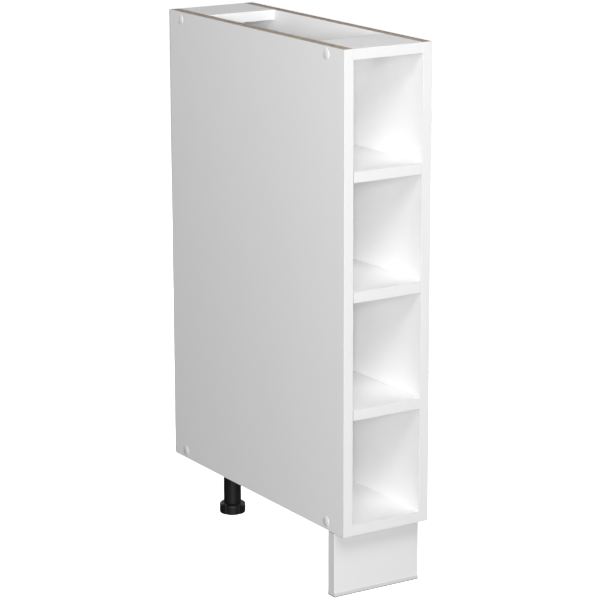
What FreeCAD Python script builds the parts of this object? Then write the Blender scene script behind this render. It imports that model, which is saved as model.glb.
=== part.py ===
import FreeCAD, Part
import Sketcher
import os
from FreeCAD import Placement, Rotation, Vector

# Narrow open base cabinet: a chipboard carcass with three loose shelves, standing on two
# adjustable feet in its middle line and on a plinth board that is clipped to the front foot.
# X runs across the width, -Y is the open front and Z is up.
# The origin is on the floor, under the middle of the cabinet.

doc = FreeCAD.newDocument("narrow_base_cabinet")
sizes = doc.addObject("Spreadsheet::Sheet", "sizes")

DRIVING_SIZES = {
    # Carcass boards
    "cabinet_width": 150.0,
    "cabinet_depth": 500.0,
    "carcass_height": 720.0,
    "board_thickness": 16.0,
    "edging_thickness": 1.0,
    "edging_radius": 0.6,
    "rail_depth": 90.0,
    "back_thickness": 3.0,
    "back_margin": 1.0,
    "shelf_side_gap": 0.75,
    "shelf_back_gap": 0.5,
    # Screw holes for a worktop, through the two top rails
    "worktop_hole_diameter": 5.0,
    "worktop_hole_spacing": 64.0,
    "worktop_hole_setback": 20.0,
    # Carcass screws, their caps, and the dowels beside them
    "fastener_clearance": 0.05,
    "screw_inset": 12.0,
    "screw_front_setback": 47.0,
    "screw_rear_setback": 36.0,
    "screw_length": 40.0,
    "screw_diameter": 4.0,
    "screw_point_length": 4.0,
    "screw_head_diameter": 8.0,
    "screw_head_height": 3.0,
    "drive_diameter": 3.6,
    "drive_depth": 2.6,
    "cap_diameter": 16.0,
    "cap_height": 1.3,
    "cap_rim_height": 0.3,
    "cap_dome_radius": 24.0,
    "cap_plug_length": 2.2,
    "dowel_spacing": 28.0,
    "dowel_diameter": 8.0,
    "dowel_length": 30.0,
    "dowel_chamfer": 1.0,
    "dowel_side_depth": 11.0,
    "blind_hole_spare": 0.5,
    # Shelf pins
    "pin_front_setback": 40.0,
    "pin_rear_setback": 60.0,
    "pin_diameter": 5.0,
    "pin_peg_length": 8.0,
    "pin_collar_diameter": 8.0,
    "pin_collar_thickness": 1.0,
    "pin_tongue_length": 9.0,
    "pin_tongue_width": 7.0,
    "pin_tongue_thickness": 2.2,
    "shelf_seat_gap": 0.2,
    # Nails of the back panel
    "nail_diameter": 1.6,
    "nail_length": 20.0,
    "nail_head_diameter": 4.0,
    "nail_head_height": 0.8,
    "nail_end_setback": 40.0,
    # Legs: socket plate, column, threaded stem and foot wheel
    "leg_height": 100.0,
    "rear_leg_setback": 54.0,
    "leg_diameter": 28.0,
    "leg_wall": 3.0,
    "leg_thread_length": 50.0,
    "leg_socket_clearance": 0.1,
    "socket_plate_width": 62.0,
    "socket_plate_depth": 50.0,
    "socket_plate_thickness": 3.0,
    "socket_corner_radius": 6.0,
    "socket_wall": 4.0,
    "socket_collar_height": 14.0,
    "socket_rib_thickness": 2.4,
    "socket_rib_reach": 6.0,
    "socket_rib_height": 9.0,
    "wheel_diameter": 42.0,
    "wheel_height": 17.0,
    "wheel_shoulder_radius": 4.0,
    "wheel_foot_radius": 2.5,
    "wheel_recess_diameter": 22.0,
    "wheel_recess_depth": 1.2,
    "wheel_notch_radius": 3.2,
    "wheel_notch_depth": 3.2,
    "wheel_socket_depth": 12.0,
    "wheel_seat_gap": 0.3,
    "stem_diameter": 14.0,
    "stem_length": 54.0,
    "stem_chamfer": 1.5,
    "stem_bead_width": 1.0,
    "stem_bead_height": 3.0,
    "stem_clearance": 0.3,
    # Small pan-head screws, for the socket plates and the clip base
    "plate_screw_inset": 7.0,
    "plate_screw_diameter": 4.0,
    "plate_screw_length": 12.0,
    "plate_screw_head_diameter": 7.5,
    "plate_screw_head_height": 2.4,
    "plate_screw_point_length": 3.0,
    # Plinth board and its seal strip
    "plinth_setback": 25.0,
    "plinth_thickness": 16.0,
    "plinth_top_gap": 1.0,
    "seal_height": 6.0,
    "seal_wall": 0.8,
    "seal_base_thickness": 1.5,
    # Plinth clip and its slotted base
    "clip_reach": 34.0,
    "clip_level": 36.0,
    "clip_height": 14.0,
    "clip_wall": 3.0,
    "clip_prong_length": 8.0,
    "clip_leg_clearance": 0.3,
    "clip_fit_clearance": 0.15,
    "clip_neck_width": 9.0,
    "clip_foot_width": 15.0,
    "clip_foot_thickness": 2.5,
    "clip_base_width": 48.0,
    "clip_base_height": 30.0,
    "clip_base_thickness": 3.0,
    "clip_lip_thickness": 2.0,
    "clip_slot_wall": 2.5,
    "clip_screw_spacing": 36.0,
}
SHELVES = ("lower_shelf", "middle_shelf", "upper_shelf")
NAILS_PER_SIDE = 5
SOCKET_RIBS = 4
WHEEL_LOBES = 6

for row, (name, value) in enumerate(DRIVING_SIZES.items(), start=1):
    sizes.set(f"A{row}", name)
    sizes.set(f"B{row}", str(value))
    sizes.setAlias(f"B{row}", name)
doc.recompute()

# Places that several pieces share, as expressions in the sheet's cells
LEFT = "(-sizes.cabinet_width / 2)"
RIGHT = "(sizes.cabinet_width / 2)"
FRONT = "(-sizes.cabinet_depth / 2)"
REAR = "(sizes.cabinet_depth / 2)"
BOARD_FRONT = f"({FRONT} + sizes.edging_thickness)"
BOARD_DEPTH = "(sizes.cabinet_depth - sizes.edging_thickness - sizes.back_thickness)"
INNER_LEFT = f"({LEFT} + sizes.board_thickness)"
INNER_WIDTH = "(sizes.cabinet_width - 2 * sizes.board_thickness)"
RAIL_LEVEL = "(sizes.carcass_height - sizes.board_thickness)"
SHELF_PITCH = f"({RAIL_LEVEL} / {len(SHELVES) + 1})"
nodes = []


def new_body(label, is_node=True):
    """A body with its label; a body that is only copied into a group is no node of its own."""
    body = doc.addObject("PartDesign::Body", label)
    body.Label = label
    if is_node:
        nodes.append(body)
    return body


def place(item, x="0", y="0", z="0", turn=None, path="Placement"):
    """Put an item at a point given by three expressions, turned by a fixed rotation."""
    if turn:
        setattr(item, path, Placement(Vector(), turn))
    for axis, expression in zip("xyz", (x, y, z)):
        item.setExpression(f"{path}.Base.{axis}", expression)


def origin_feature(body, role):
    """One of the body's own origin planes or axes."""
    return next(item for item in body.Origin.OriginFeatures if item.Role == role)


def new_sketch(body, name, plane, offset="0"):
    """A sketch on an origin plane of the body, moved along the plane's normal."""
    sketch = body.newObject("Sketcher::SketchObject", name)
    sketch.AttachmentSupport = [(origin_feature(body, plane), "")]
    sketch.MapMode = "FlatFace"
    sketch.setExpression("AttachmentOffset.Base.z", offset)
    return sketch


def dimension(sketch, size, kind, *geometry):
    """A dimension in the sketch that follows an expression."""
    index = sketch.addConstraint(Sketcher.Constraint(kind, *geometry, 1.0))
    sketch.setExpression(f"Constraints[{index}]", size)


def add_outline(sketch, corners):
    """A closed outline of straight sides, with each corner's place given by two expressions."""
    first = sketch.GeometryCount
    count = len(corners)
    for index in range(count):
        start = Vector(index, index * index, 0)
        end = Vector((index + 1) % count, ((index + 1) % count) ** 2, 0)
        sketch.addGeometry(Part.LineSegment(start, end), False)
    for index, (across, along) in enumerate(corners):
        side = first + index
        following = first + (index + 1) % count
        sketch.addConstraint(Sketcher.Constraint("Coincident", side, 2, following, 1))
        dimension(sketch, across, "DistanceX", -1, 1, side, 1)
        dimension(sketch, along, "DistanceY", -1, 1, side, 1)


def add_rectangle(sketch, left, low, width, height):
    """An upright rectangle from its lower left corner."""
    right = f"{left} + {width}"
    high = f"{low} + {height}"
    add_outline(sketch, [(left, low), (right, low), (right, high), (left, high)])


def add_circle(sketch, across, along, diameter):
    """A circle about a point given by two expressions."""
    circle = sketch.addGeometry(Part.Circle(Vector(), Vector(0, 0, 1), 1.0), False)
    dimension(sketch, diameter, "Diameter", circle)
    dimension(sketch, across, "DistanceX", -1, 1, circle, 3)
    dimension(sketch, along, "DistanceY", -1, 1, circle, 3)


def pad(body, sketch, length):
    """Raise a sketch along its normal."""
    feature = body.newObject("PartDesign::Pad", f"{sketch.Name}_pad")
    feature.Profile = sketch
    feature.setExpression("Length", length)
    return feature


def cut(body, sketch, depth, along_normal):
    """Cut a sketch into the body, and make sure that it took something away."""
    doc.recompute()
    before = body.Shape.Volume
    feature = body.newObject("PartDesign::Pocket", f"{sketch.Name}_cut")
    feature.Profile = sketch
    feature.Reversed = along_normal
    feature.setExpression("Length", depth)
    doc.recompute()
    if body.Shape.Volume >= before:
        raise RuntimeError(f"{feature.Name} cuts nothing")
    return feature


def drill(body, name, plane, offset, centres, diameter, depth, along_normal):
    """Round holes with their centres on one plane."""
    sketch = new_sketch(body, name, plane, offset)
    for across, along in centres:
        add_circle(sketch, across, along, diameter)
    return cut(body, sketch, depth, along_normal)


def turn_profile(body, name, plane, axis, corners):
    """A solid of revolution about one of the body's axes."""
    sketch = new_sketch(body, name, plane)
    add_outline(sketch, corners)
    feature = body.newObject("PartDesign::Revolution", f"{name}_turned")
    feature.Profile = sketch
    feature.ReferenceAxis = (origin_feature(body, axis), [""])
    feature.Angle = 360
    return feature


def repeat_around(body, feature, count):
    """Copies of a feature, evenly round the body's upright axis."""
    pattern = body.newObject("PartDesign::PolarPattern", f"{feature.Name}_pattern")
    pattern.Originals = [feature]
    pattern.Axis = (origin_feature(body, "Z_Axis"), [""])
    pattern.Angle = 360
    pattern.Occurrences = count
    body.Tip = pattern
    doc.recompute()
    return pattern


def dress_edges(body, kind, size_name, size, is_chosen):
    """Round or chamfer the edges of the body that a test picks out."""
    doc.recompute()
    edges = [f"Edge{i}" for i, edge in enumerate(body.Shape.Edges, start=1) if is_chosen(edge)]
    base = body.Tip
    feature = body.newObject(f"PartDesign::{kind}", f"{body.Name}_{kind.lower()}")
    feature.Base = (base, edges)
    feature.setExpression(size_name, size)
    doc.recompute()


def is_rim(edge, radius, level):
    """Whether an edge is a full circle of this radius about Z at this level."""
    is_circle = isinstance(edge.Curve, Part.Circle) and edge.isClosed()
    return is_circle and abs(edge.Curve.Radius - radius) < 1e-6 and abs(edge.Curve.Center.z - level) < 1e-6


def copies(label, original, spots):
    """One node that holds a copy of the original at each spot: three expressions and a rotation."""
    links = []
    for x, y, z, turn in spots:
        link = doc.addObject("App::Link", f"{original.Name}_copy")
        link.LinkedObject = original
        place(link, x, y, z, turn, "LinkPlacement")
        links.append(link)
    group = doc.addObject("Part::Compound", label)
    group.Label = label
    group.Links = links
    nodes.append(group)


AS_DRAWN = Rotation()
FACING_LEFT = Rotation(Vector(0, 0, 1), 180)
FACING_FRONT = Rotation(Vector(1, 0, 0), 90)
SIDES = ((LEFT, AS_DRAWN), (RIGHT, FACING_LEFT))

# Places of the carcass fasteners on a side panel, from the lower front corner of its board
SCREW_FRONT = "(sizes.screw_front_setback - sizes.edging_thickness)"
SCREW_REAR = f"({BOARD_DEPTH} + sizes.back_thickness - sizes.screw_rear_setback)"
DOWEL_FRONT = f"({SCREW_FRONT} + sizes.dowel_spacing)"
DOWEL_REAR = f"({SCREW_REAR} - sizes.dowel_spacing)"
SCREW_LOW = "sizes.screw_inset"
SCREW_HIGH = "(sizes.carcass_height - sizes.screw_inset)"
DOWEL_LOW = "(sizes.board_thickness / 2)"
DOWEL_HIGH = "(sizes.carcass_height - sizes.board_thickness / 2)"
SCREW_SPOTS = [(y, z) for y in (SCREW_FRONT, SCREW_REAR) for z in (SCREW_LOW, SCREW_HIGH)]
DOWEL_SPOTS = [(y, z) for y in (DOWEL_FRONT, DOWEL_REAR) for z in (DOWEL_LOW, DOWEL_HIGH)]
PIN_ROWS = ("(sizes.pin_front_setback - sizes.edging_thickness)", f"({BOARD_DEPTH} - sizes.pin_rear_setback)")
PIN_DROP = "(sizes.shelf_seat_gap + sizes.pin_collar_diameter / 2)"
PIN_LEVELS = [f"({number} * {SHELF_PITCH} - {PIN_DROP})" for number in range(1, len(SHELVES) + 1)]
PIN_SPOTS = [(y, z) for y in PIN_ROWS for z in PIN_LEVELS]
NAIL_PITCH = f"((sizes.carcass_height - 2 * sizes.nail_end_setback) / {NAILS_PER_SIDE - 1})"
NAIL_LEVELS = [f"(sizes.nail_end_setback + {number} * {NAIL_PITCH})" for number in range(NAILS_PER_SIDE)]

# Hole sizes that fit those fasteners
SCREW_HOLE = "sizes.screw_diameter + 2 * sizes.fastener_clearance"
SCREW_HEAD_HOLE = "sizes.screw_head_diameter + 2 * sizes.fastener_clearance"
DOWEL_HOLE = "sizes.dowel_diameter + 2 * sizes.fastener_clearance"
PIN_HOLE = "sizes.pin_diameter + 2 * sizes.fastener_clearance"
NAIL_HOLE = "sizes.nail_diameter + 2 * sizes.fastener_clearance"
NAIL_HEAD_HOLE = "sizes.nail_head_diameter + 2 * sizes.fastener_clearance"
PLATE_SCREW_HOLE = "sizes.plate_screw_diameter + 2 * sizes.fastener_clearance"
NAIL_HOLE_DEPTH = "sizes.nail_length - sizes.back_thickness + sizes.blind_hole_spare"
DOWEL_SIDE_HOLE_DEPTH = "sizes.dowel_side_depth + sizes.blind_hole_spare"
DOWEL_END_HOLE_DEPTH = "sizes.dowel_length - sizes.dowel_side_depth + sizes.blind_hole_spare"
SCREW_END_HOLE_DEPTH = "sizes.screw_length - sizes.board_thickness + sizes.blind_hole_spare"
PLATE_SCREW_HOLE_DEPTH = "sizes.plate_screw_length - sizes.socket_plate_thickness + sizes.blind_hole_spare"


# Side panels: sawn boards, drilled through for the screws from outside and blind from inside
def side_panel(label, x, outside, inside, outside_cuts_along):
    body = new_body(label)
    outline = new_sketch(body, f"{label}_outline", "YZ_Plane")
    add_rectangle(outline, "0", "0", BOARD_DEPTH, "sizes.carcass_height")
    pad(body, outline, "sizes.board_thickness")
    cuts = (
        ("screw_holes", outside, SCREW_SPOTS, SCREW_HOLE, "sizes.board_thickness", outside_cuts_along),
        ("screw_seats", outside, SCREW_SPOTS, SCREW_HEAD_HOLE, "sizes.screw_head_height", outside_cuts_along),
        ("dowel_holes", inside, DOWEL_SPOTS, DOWEL_HOLE, DOWEL_SIDE_HOLE_DEPTH, not outside_cuts_along),
        ("pin_holes", inside, PIN_SPOTS, PIN_HOLE,
         "sizes.pin_peg_length + sizes.blind_hole_spare", not outside_cuts_along),
    )
    for name, offset, spots, diameter, depth, along_normal in cuts:
        drill(body, f"{label}_{name}", "YZ_Plane", offset, spots, diameter, depth, along_normal)
    nail_spots = [("sizes.board_thickness / 2", level) for level in NAIL_LEVELS]
    drill(body, f"{label}_nail_holes", "XZ_Plane", f"-{BOARD_DEPTH}", nail_spots,
          NAIL_HOLE, NAIL_HOLE_DEPTH, True)
    place(body, x, BOARD_FRONT, "sizes.leg_height")


side_panel("left_side_panel", LEFT, "0", "sizes.board_thickness", True)
side_panel("right_side_panel", f"({RIGHT} - sizes.board_thickness)", "sizes.board_thickness", "0", False)


# Boards between the sides: each is held at both ends by screws and dowels
def cross_board(label, y, z, depth, screw_spots, dowel_spots):
    body = new_body(label)
    outline = new_sketch(body, f"{label}_outline", "XY_Plane")
    add_rectangle(outline, "0", "0", INNER_WIDTH, depth)
    pad(body, outline, "sizes.board_thickness")
    for end, offset, along_normal in (("left", "0", True), ("right", INNER_WIDTH, False)):
        drill(body, f"{label}_{end}_screw_holes", "YZ_Plane", offset, screw_spots,
              SCREW_HOLE, SCREW_END_HOLE_DEPTH, along_normal)
        drill(body, f"{label}_{end}_dowel_holes", "YZ_Plane", offset, dowel_spots,
              DOWEL_HOLE, DOWEL_END_HOLE_DEPTH, along_normal)
    place(body, INNER_LEFT, f"({BOARD_FRONT} + {y})", f"(sizes.leg_height + {z})")
    return body


def drill_nail_hole(body, depth):
    """The hole for one nail in the middle of a board's rear edge."""
    spot = [(f"{INNER_WIDTH} / 2", "sizes.board_thickness / 2")]
    drill(body, f"{body.Name}_nail_hole", "XZ_Plane", f"-{depth}", spot, NAIL_HOLE, NAIL_HOLE_DEPTH, True)


def drill_worktop_holes(rail, y):
    """Two holes up through a rail, for the screws of a worktop."""
    spots = [(f"{INNER_WIDTH} / 2 {sign} sizes.worktop_hole_spacing / 2", y) for sign in "-+"]
    drill(rail, f"{rail.Name}_worktop_holes", "XY_Plane", "0", spots,
          "sizes.worktop_hole_diameter", "sizes.board_thickness", True)


RAIL_SCREW_LEVEL = "(sizes.board_thickness - sizes.screw_inset)"
REAR_RAIL_START = f"({BOARD_DEPTH} - sizes.rail_depth)"
bottom_panel = cross_board(
    "bottom_panel", "0", "0", BOARD_DEPTH,
    [(y, SCREW_LOW) for y in (SCREW_FRONT, SCREW_REAR)],
    [(y, DOWEL_LOW) for y in (DOWEL_FRONT, DOWEL_REAR)])
drill_nail_hole(bottom_panel, BOARD_DEPTH)

front_top_rail = cross_board(
    "front_top_rail", "0", RAIL_LEVEL, "sizes.rail_depth",
    [(SCREW_FRONT, RAIL_SCREW_LEVEL)], [(DOWEL_FRONT, DOWEL_LOW)])
drill_worktop_holes(front_top_rail, "sizes.worktop_hole_setback")

rear_top_rail = cross_board(
    "rear_top_rail", REAR_RAIL_START, RAIL_LEVEL, "sizes.rail_depth",
    [(f"{SCREW_REAR} - {REAR_RAIL_START}", RAIL_SCREW_LEVEL)],
    [(f"{DOWEL_REAR} - {REAR_RAIL_START}", DOWEL_LOW)])
drill_nail_hole(rear_top_rail, "sizes.rail_depth")
drill_worktop_holes(rear_top_rail, "sizes.rail_depth - sizes.worktop_hole_setback")

# Shelves: loose boards, a little narrower than the space and short of the back panel
SHELF_WIDTH = f"({INNER_WIDTH} - 2 * sizes.shelf_side_gap)"
SHELF_LEFT = f"({INNER_LEFT} + sizes.shelf_side_gap)"
for number, label in enumerate(SHELVES, start=1):
    shelf = new_body(label)
    shelf_outline = new_sketch(shelf, f"{label}_outline", "XY_Plane")
    add_rectangle(shelf_outline, "0", "0", SHELF_WIDTH, f"({BOARD_DEPTH} - sizes.shelf_back_gap)")
    pad(shelf, shelf_outline, "sizes.board_thickness")
    place(shelf, SHELF_LEFT, BOARD_FRONT, f"(sizes.leg_height + {number} * {SHELF_PITCH})")


# Edging strips: thin plastic glued to the visible edges, with the two long outer edges rounded
def edging(label, x, y, z, width, height):
    body = new_body(label)
    outline = new_sketch(body, f"{label}_outline", "XY_Plane")
    add_rectangle(outline, "0", "0", width, "sizes.edging_thickness")
    pad(body, outline, height)
    doc.recompute()
    longest = max(edge.Length for edge in body.Shape.Edges)
    dress_edges(body, "Fillet", "Radius", "sizes.edging_radius",
                lambda edge: edge.BoundBox.YMax < 1e-6 and edge.Length > longest - 1e-6)
    place(body, x, y, f"(sizes.leg_height + {z})")


edging("left_side_edging", LEFT, FRONT, "0", "sizes.board_thickness", "sizes.carcass_height")
edging("right_side_edging", f"({RIGHT} - sizes.board_thickness)", FRONT, "0",
       "sizes.board_thickness", "sizes.carcass_height")
edging("bottom_edging", INNER_LEFT, FRONT, "0", INNER_WIDTH, "sizes.board_thickness")
edging("front_rail_edging", INNER_LEFT, FRONT, RAIL_LEVEL, INNER_WIDTH, "sizes.board_thickness")
edging("rear_rail_edging", INNER_LEFT, f"({FRONT} + {REAR_RAIL_START})", RAIL_LEVEL,
       INNER_WIDTH, "sizes.board_thickness")
for number, label in enumerate(SHELVES, start=1):
    edging(f"{label}_edging", SHELF_LEFT, FRONT, f"{number} * {SHELF_PITCH}",
           SHELF_WIDTH, "sizes.board_thickness")

# Back panel: thin fibreboard laid over the rear edges, a little smaller than the carcass
BACK_WIDTH = "(sizes.cabinet_width - 2 * sizes.back_margin)"
BACK_HEIGHT = "(sizes.carcass_height - 2 * sizes.back_margin)"
back_panel = new_body("back_panel")
back_outline = new_sketch(back_panel, "back_outline", "XZ_Plane")
add_rectangle(back_outline, "0", "0", BACK_WIDTH, BACK_HEIGHT)
pad(back_panel, back_outline, "sizes.back_thickness")
BACK_NAIL_ROWS = [f"({x} - {LEFT})" for x in (
    f"({LEFT} + sizes.board_thickness / 2)", f"({RIGHT} - sizes.board_thickness / 2)")]
NAIL_SPOTS = [(x, z) for x in BACK_NAIL_ROWS for z in NAIL_LEVELS]
NAIL_SPOTS += [("(sizes.cabinet_width / 2)", z) for z in (DOWEL_LOW, DOWEL_HIGH)]
back_nail_spots = [(f"{x} - sizes.back_margin", f"{z} - sizes.back_margin") for x, z in NAIL_SPOTS]
drill(back_panel, "back_nail_holes", "XZ_Plane", "0", back_nail_spots,
      NAIL_HOLE, "sizes.back_thickness", True)
drill(back_panel, "back_nail_seats", "XZ_Plane", "0", back_nail_spots,
      NAIL_HEAD_HOLE, "sizes.nail_head_height", True)
place(back_panel, f"({LEFT} + sizes.back_margin)", REAR, "(sizes.leg_height + sizes.back_margin)")

# Carcass screws: long chipboard screws with a flush head and a round drive recess
carcass_screw = new_body("carcass_screw", is_node=False)
turn_profile(carcass_screw, "carcass_screw_profile", "XZ_Plane", "X_Axis", [
    ("sizes.drive_depth", "0"),
    ("sizes.drive_depth", "sizes.drive_diameter / 2"),
    ("0", "sizes.drive_diameter / 2"),
    ("0", "sizes.screw_head_diameter / 2"),
    ("sizes.screw_head_height", "sizes.screw_head_diameter / 2"),
    ("sizes.screw_head_height", "sizes.screw_diameter / 2"),
    ("sizes.screw_length - sizes.screw_point_length", "sizes.screw_diameter / 2"),
    ("sizes.screw_length", "sizes.screw_diameter / 4"),
    ("sizes.screw_length", "0"),
])
CARCASS_SCREW_SPOTS = [
    (x, f"({BOARD_FRONT} + {y})", f"(sizes.leg_height + {z})", turn)
    for x, turn in SIDES for y, z in SCREW_SPOTS]
copies("carcass_screws", carcass_screw, CARCASS_SCREW_SPOTS)

# Screw caps: shallow domed plastic covers whose plug sits in the drive recess of a screw
screw_cap = new_body("screw_cap", is_node=False)
CAP_PLUG_RADIUS = "(sizes.drive_diameter / 2 - sizes.fastener_clearance)"
turn_profile(screw_cap, "screw_cap_profile", "XZ_Plane", "X_Axis", [
    ("-sizes.cap_height", "0"),
    ("-sizes.cap_height", "sizes.cap_diameter / 4"),
    ("-sizes.cap_rim_height", "sizes.cap_diameter / 2"),
    ("0", "sizes.cap_diameter / 2"),
    ("0", CAP_PLUG_RADIUS),
    ("sizes.cap_plug_length", CAP_PLUG_RADIUS),
    ("sizes.cap_plug_length", "0"),
])
dress_edges(screw_cap, "Fillet", "Radius", "sizes.cap_dome_radius",
            lambda edge: abs(edge.BoundBox.XMax + sizes.cap_height) < 1e-6 and edge.isClosed())
copies("screw_caps", screw_cap, CARCASS_SCREW_SPOTS)

# Wooden dowels: one beside each carcass screw, half in the side and half in the cross board
dowel = new_body("dowel", is_node=False)
DOWEL_START = "sizes.board_thickness - sizes.dowel_side_depth"
turn_profile(dowel, "dowel_profile", "XZ_Plane", "X_Axis", [
    (DOWEL_START, "0"),
    (DOWEL_START, "sizes.dowel_diameter / 2 - sizes.dowel_chamfer"),
    (f"{DOWEL_START} + sizes.dowel_chamfer", "sizes.dowel_diameter / 2"),
    (f"{DOWEL_START} + sizes.dowel_length - sizes.dowel_chamfer", "sizes.dowel_diameter / 2"),
    (f"{DOWEL_START} + sizes.dowel_length", "sizes.dowel_diameter / 2 - sizes.dowel_chamfer"),
    (f"{DOWEL_START} + sizes.dowel_length", "0"),
])
copies("wooden_dowels", dowel, [
    (x, f"({BOARD_FRONT} + {y})", f"(sizes.leg_height + {z})", turn)
    for x, turn in SIDES for y, z in DOWEL_SPOTS])

# Shelf pins: a round peg and collar with a flat tongue, propped by a sloping web
shelf_pin = new_body("shelf_pin", is_node=False)
turn_profile(shelf_pin, "shelf_pin_peg", "XZ_Plane", "X_Axis", [
    ("-sizes.pin_peg_length", "0"),
    ("-sizes.pin_peg_length", "sizes.pin_diameter / 2"),
    ("0", "sizes.pin_diameter / 2"),
    ("0", "sizes.pin_collar_diameter / 2"),
    ("sizes.pin_collar_thickness", "sizes.pin_collar_diameter / 2"),
    ("sizes.pin_collar_thickness", "0"),
])
tongue = new_sketch(shelf_pin, "shelf_pin_tongue", "XZ_Plane", "-sizes.pin_tongue_width / 2")
add_outline(tongue, [
    ("0", "sizes.pin_collar_diameter / 2"),
    ("sizes.pin_tongue_length", "sizes.pin_collar_diameter / 2"),
    ("sizes.pin_tongue_length", "sizes.pin_collar_diameter / 2 - sizes.pin_tongue_thickness"),
    ("sizes.pin_collar_thickness", "-sizes.pin_collar_diameter / 4"),
    ("0", "-sizes.pin_collar_diameter / 4"),
])
pad(shelf_pin, tongue, "sizes.pin_tongue_width")
INNER_SIDES = ((INNER_LEFT, AS_DRAWN), (f"({RIGHT} - sizes.board_thickness)", FACING_LEFT))
copies("shelf_pins", shelf_pin, [
    (x, f"({BOARD_FRONT} + {y})", f"(sizes.leg_height + {z})", turn)
    for x, turn in INNER_SIDES for y, z in PIN_SPOTS])

# Back nails: flat heads, driven flush through the back panel into the boards
nail = new_body("nail", is_node=False)
turn_profile(nail, "nail_profile", "XY_Plane", "Y_Axis", [
    ("0", "0"),
    ("sizes.nail_head_diameter / 2", "0"),
    ("sizes.nail_head_diameter / 2", "-sizes.nail_head_height"),
    ("sizes.nail_diameter / 2", "-sizes.nail_head_height"),
    ("sizes.nail_diameter / 2", "-sizes.nail_length + sizes.nail_diameter"),
    ("0", "-sizes.nail_length"),
])
copies("back_nails", nail, [
    (f"({LEFT} + {x})", REAR, f"(sizes.leg_height + {z})", AS_DRAWN) for x, z in NAIL_SPOTS])

# Legs: a ribbed socket plate under the bottom panel holds a hollow column, and a threaded stem
# in the column carries the lobed wheel that the cabinet stands on
PLINTH_FRONT = f"({FRONT} + sizes.plinth_setback)"
PLINTH_REAR = f"({PLINTH_FRONT} + sizes.plinth_thickness)"
LEGS = {
    "front": f"({PLINTH_REAR} + sizes.clip_reach)",
    "rear": f"({REAR} - sizes.rear_leg_setback)",
}
PLATE_SCREW_SPOTS = [
    (f"({x} * (sizes.socket_plate_width / 2 - sizes.plate_screw_inset))",
     f"({y} * (sizes.socket_plate_depth / 2 - sizes.plate_screw_inset))")
    for x in (-1, 1) for y in (-1, 1)]
COLUMN_START = "(sizes.wheel_height + sizes.wheel_seat_gap)"
COLUMN_LENGTH = f"(sizes.leg_height - sizes.socket_plate_thickness - {COLUMN_START})"
STEM_BORE_RADIUS = "(sizes.stem_diameter / 2 + sizes.stem_clearance)"
WHEEL_SOCKET_FLOOR = "(sizes.wheel_height - sizes.wheel_socket_depth)"
BEAD_RADIUS = "(sizes.stem_diameter / 2 + sizes.stem_bead_width)"


def leg_socket(label, y):
    body = new_body(label)
    plate = new_sketch(body, f"{label}_plate", "XY_Plane", "-sizes.socket_plate_thickness")
    add_rectangle(plate, "-sizes.socket_plate_width / 2", "-sizes.socket_plate_depth / 2",
                  "sizes.socket_plate_width", "sizes.socket_plate_depth")
    pad(body, plate, "sizes.socket_plate_thickness")
    dress_edges(body, "Fillet", "Radius", "sizes.socket_corner_radius",
                lambda edge: edge.BoundBox.XLength + edge.BoundBox.YLength < 1e-6)
    collar = new_sketch(body, f"{label}_collar", "XY_Plane",
                        "-sizes.socket_plate_thickness - sizes.socket_collar_height")
    bore = "sizes.leg_diameter + 2 * sizes.leg_socket_clearance"
    add_circle(collar, "0", "0", bore)
    add_circle(collar, "0", "0", f"{bore} + 2 * sizes.socket_wall")
    pad(body, collar, "sizes.socket_collar_height")
    rib = new_sketch(body, f"{label}_rib", "XZ_Plane", "-sizes.socket_rib_thickness / 2")
    rib_start = "(sizes.leg_diameter / 2 + sizes.leg_socket_clearance + sizes.socket_wall / 2)"
    rib_end = f"({rib_start} + sizes.socket_wall / 2 + sizes.socket_rib_reach)"
    add_outline(rib, [
        (rib_start, "-sizes.socket_plate_thickness"),
        (rib_end, "-sizes.socket_plate_thickness"),
        (rib_start, "-sizes.socket_plate_thickness - sizes.socket_rib_height"),
    ])
    repeat_around(body, pad(body, rib, "sizes.socket_rib_thickness"), SOCKET_RIBS)
    drill(body, f"{label}_screw_holes", "XY_Plane", "0", PLATE_SCREW_SPOTS,
          PLATE_SCREW_HOLE, "sizes.socket_plate_thickness", False)
    place(body, "0", y, "sizes.leg_height")


def leg_column(label, y):
    body = new_body(label)
    hollow = "sizes.leg_diameter / 2 - sizes.leg_wall"
    turn_profile(body, f"{label}_profile", "XZ_Plane", "Z_Axis", [
        (STEM_BORE_RADIUS, "0"),
        ("sizes.leg_diameter / 2", "0"),
        ("sizes.leg_diameter / 2", COLUMN_LENGTH),
        (hollow, COLUMN_LENGTH),
        (hollow, "sizes.leg_thread_length"),
        (STEM_BORE_RADIUS, "sizes.leg_thread_length"),
    ])
    place(body, "0", y, COLUMN_START)


def foot_stem(label, y):
    body = new_body(label)
    bead_height = "sizes.stem_bead_height - sizes.stem_clearance"
    turn_profile(body, f"{label}_profile", "XZ_Plane", "Z_Axis", [
        ("0", "0"),
        (BEAD_RADIUS, "0"),
        (BEAD_RADIUS, bead_height),
        ("sizes.stem_diameter / 2", bead_height),
        ("sizes.stem_diameter / 2", "sizes.stem_length - sizes.stem_chamfer"),
        ("sizes.stem_diameter / 2 - sizes.stem_chamfer", "sizes.stem_length"),
        ("0", "sizes.stem_length"),
    ])
    place(body, "0", y, WHEEL_SOCKET_FLOOR)


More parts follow.
